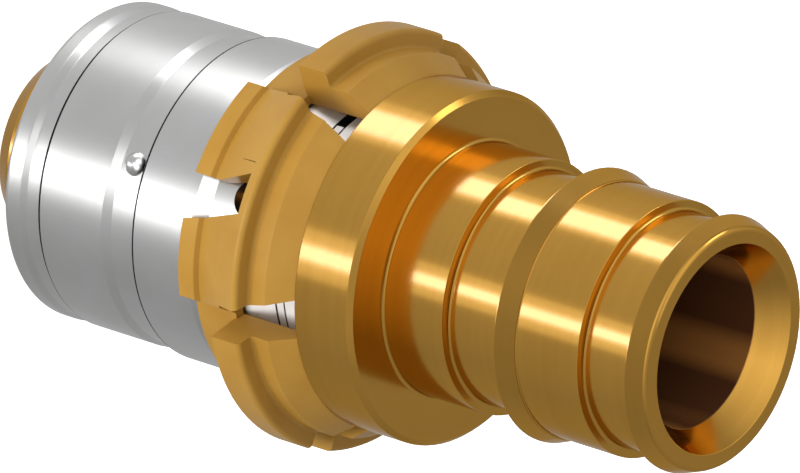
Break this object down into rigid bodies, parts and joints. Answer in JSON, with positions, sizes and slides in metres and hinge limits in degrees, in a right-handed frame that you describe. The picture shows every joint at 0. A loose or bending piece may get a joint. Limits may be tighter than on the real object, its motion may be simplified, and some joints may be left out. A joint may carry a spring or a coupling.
{
  "type": "pipe adapter",
  "caption": "Brass pipe adapter with a ribbed spigot for a sliding-sleeve joint at one end and a steel press sleeve with a plastic stop ring at the other.",
  "frame": {"origin": "centre of the nose's end face, on the axis, where the adapter stands", "axes": "+Z along the axis from the press end's nose to the spigot's mouth, -Y through the stop ring's front petal with the two tabs"},
  "size_m": [0.0368, 0.0368, 0.0726],
  "materials": {
    "turned_brass": "satin, as turned",
    "stainless_sheet": "satin",
    "ochre_plastic": "satin, as moulded",
    "black_rubber": "matte"
  },
  "bodies": {
    "root": {"adapter_body": "turned_brass", "press_sleeve": "stainless_sheet", "stop_ring": "ochre_plastic", "upper_seal": "black_rubber", "lower_seal": "black_rubber"}
  },
  "joints": []
}
